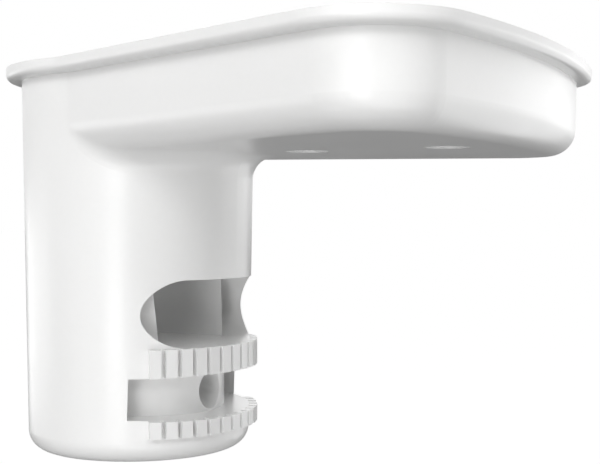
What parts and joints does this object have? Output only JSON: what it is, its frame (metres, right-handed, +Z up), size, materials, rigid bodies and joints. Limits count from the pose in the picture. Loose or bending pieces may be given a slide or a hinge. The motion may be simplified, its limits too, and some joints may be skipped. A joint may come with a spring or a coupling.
{
  "type": "detector ceiling bracket",
  "caption": "White moulded bracket that hangs a motion detector from a ceiling: a fan-shaped hollow arm under a flange, and a round post with toothed rings for the clamp.",
  "frame": {"origin": "centre of the two ceiling screws, on the flange's upper face, which is the ceiling plane", "axes": "+Z up into the ceiling, along the ceiling screws; +X from the post towards the arm's wide end, along the line of the two screws; the part is symmetric about the plane y = 0"},
  "size_m": [0.0839, 0.0756, 0.0562],
  "materials": {
    "white_plastic": "satin"
  },
  "bodies": {
    "root": {"bracket_body": "white_plastic"}
  },
  "joints": []
}
